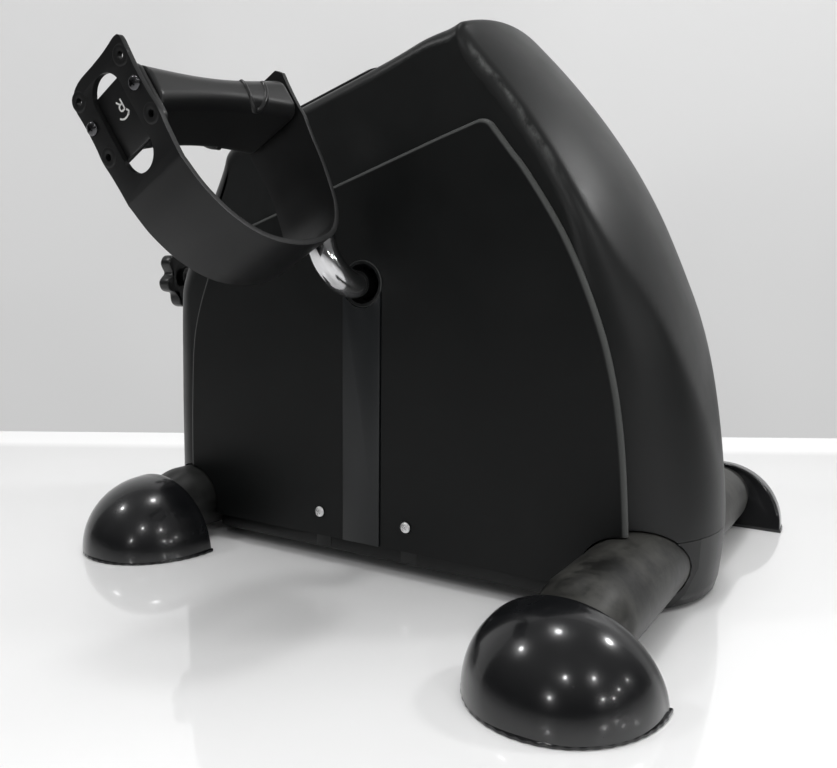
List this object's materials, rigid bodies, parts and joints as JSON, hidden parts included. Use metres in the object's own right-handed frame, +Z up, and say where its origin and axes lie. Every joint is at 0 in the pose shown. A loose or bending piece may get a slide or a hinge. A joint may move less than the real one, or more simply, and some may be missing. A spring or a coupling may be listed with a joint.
{
  "type": "under desk pedal exerciser",
  "caption": "Compact seated pedal exerciser with a moulded housing, bent crank, strapped pedals, tension knob and two foot legs.",
  "frame": {"origin": "middle of the footprint's bounding box, on the floor", "axes": "+Z up, -X towards the user and the tension knob, -Y to the user's right along the crank axis"},
  "size_m": [0.3906, 0.4194, 0.2913],
  "materials": {
    "button_grey": "satin",
    "cast_iron": "as cast",
    "chrome": "polished",
    "frame_paint": "satin",
    "gloss_black": "polished",
    "housing_black": "fine moulded grain",
    "leg_paint": "scuffed",
    "lens": "clear over grey",
    "magnet": "dull",
    "nylon": "natural",
    "rubber": "matt",
    "satin_black": "satin",
    "steel": "ground",
    "strap_black": "smooth flexible plastic",
    "zinc": "zinc plated"
  },
  "bodies": {
    "base": {"battery_cell": "zinc", "bottom_cover": "housing_black", "brake_pivot_pin": "zinc", "crank_bearing_left": "nylon", "crank_bearing_right": "nylon", "crank_bush_left": "satin_black", "crank_bush_right": "satin_black", "display_case": "satin_black", "display_lens": "lens", "drive_belt": "rubber", "flywheel_bearing_left": "steel", "flywheel_bearing_right": "steel", "front_foot_bolt": "zinc", "front_foot_cap_left": "gloss_black", "front_foot_cap_right": "gloss_black", "front_foot_tube": "leg_paint", "front_skirt": "housing_black", "housing_screw_left_front": "zinc", "housing_screw_left_rear": "zinc", "housing_screw_right_front": "zinc", "housing_screw_right_rear": "zinc", "housing_shell": "housing_black", "main_frame": "frame_paint", "rear_foot_bolt": "zinc", "rear_foot_cap_left": "gloss_black", "rear_foot_cap_right": "gloss_black", "rear_foot_tube": "leg_paint", "rear_skirt": "housing_black", "slot_cover_left": "housing_black", "slot_cover_right": "housing_black", "speed_sensor": "satin_black", "tension_collar": "satin_black"},
    "crank": {"crank": "chrome", "drive_pulley": "nylon", "sensor_magnet": "magnet", "pedal_nut_right": "zinc", "pedal_nut_left": "zinc", "pedal_washer_right": "zinc", "pedal_washer_left": "zinc"},
    "flywheel": {"flywheel": "cast_iron", "flywheel_shaft": "steel", "small_pulley": "steel"},
    "pedal_right": {"pedal_body_right": "satin_black", "pedal_end_plate_right": "satin_black", "pedal_strap_right": "strap_black", "strap_stud_right_front": "zinc", "strap_stud_right_rear": "zinc"},
    "pedal_left": {"pedal_body_left": "satin_black", "pedal_end_plate_left": "satin_black", "pedal_strap_left": "strap_black", "strap_stud_left_front": "zinc", "strap_stud_left_rear": "zinc"},
    "knob": {"tension_knob": "satin_black", "tension_screw": "zinc"},
    "nut": {"tension_nut": "zinc"},
    "brake": {"brake_arm": "zinc", "brake_magnet": "magnet", "return_spring": "steel"},
    "button": {"mode_button": "button_grey"}
  },
  "joints": [
    {"name": "crank_spin", "type": "hinge", "parent": "base", "child": "crank", "pos_m": [0.01045, 0, 0.1547], "axis": [0, 1, 0], "continuous": true},
    {"name": "flywheel_spin", "type": "hinge", "parent": "base", "child": "flywheel", "pos_m": [0.09325, 0, 0.118], "axis": [0, 1, 0], "continuous": true},
    {"name": "pedal_right_spin", "type": "hinge", "parent": "crank", "child": "pedal_right", "pos_m": [-0.01171, -0.11797, 0.23355], "axis": [0.0377, -0.9903, -0.134], "continuous": true},
    {"name": "pedal_left_spin", "type": "hinge", "parent": "crank", "child": "pedal_left", "pos_m": [0.03261, 0.11797, 0.07585], "axis": [-0.0377, 0.9903, 0.134], "continuous": true},
    {"name": "tension_knob_turn", "type": "hinge", "parent": "base", "child": "knob", "pos_m": [-0.19525, 0, 0.158], "axis": [1, 0, 0], "range_deg": [0, 1080]},
    {"name": "tension_nut_slide", "type": "slide", "parent": "base", "child": "nut", "axis": [-1, 0, 0], "range_m": [0, 0.00245]},
    {"name": "brake_arm_pivot", "type": "hinge", "parent": "base", "child": "brake", "pos_m": [0.01045, 0, 0.196], "axis": [0, 1, 0], "range_deg": [0, 5.6]},
    {"name": "mode_button_press", "type": "slide", "parent": "base", "child": "button", "axis": [0.2934, 0, -0.956], "range_m": [0, 0.001], "stiffness_N_per_m": 300}
  ],
  "couplings": [
    {"joint": "flywheel_spin", "follows": "crank_spin", "ratio": 3},
    {"joint": "tension_nut_slide", "follows": "tension_knob_turn", "m_per_rad": 0.00012732},
    {"joint": "brake_arm_pivot", "follows": "tension_knob_turn", "ratio": 0.0050926}
  ]
}
